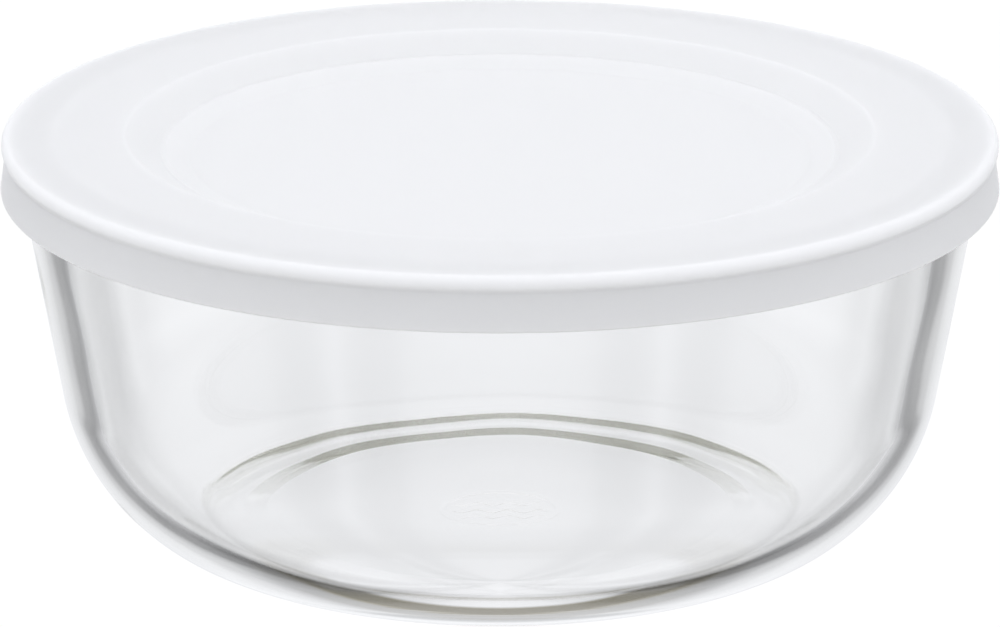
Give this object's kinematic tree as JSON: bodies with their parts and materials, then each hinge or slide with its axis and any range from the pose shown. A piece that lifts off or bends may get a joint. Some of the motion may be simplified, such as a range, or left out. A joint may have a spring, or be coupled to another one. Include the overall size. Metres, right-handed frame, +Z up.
{
  "type": "glass storage container",
  "caption": "Round clear glass food storage bowl with tapered sides and a rounded heel, closed by a white press-on plastic lid with a stepped stacking recess.",
  "frame": {"origin": "centre of the foot ring's resting plane, under the middle of the bowl", "axes": "+Z up along the container's axis of rotation, from the foot to the lid; the part is round, so +X and +Y are any two directions across it"},
  "size_m": [0.1658, 0.1658, 0.0686],
  "materials": {
    "clear_glass": "clear, fire-polished pressed glass with a faint olive tint in its thick edges",
    "lid_plastic": "satin white soft moulded plastic"
  },
  "bodies": {
    "bowl": {"glass_bowl": "clear_glass"},
    "lid": {"lid": "lid_plastic"}
  },
  "joints": [
    {"name": "lid_lift", "type": "slide", "parent": "bowl", "child": "lid", "axis": [0, 0, 1], "range_m": [0, 0.08]}
  ]
}
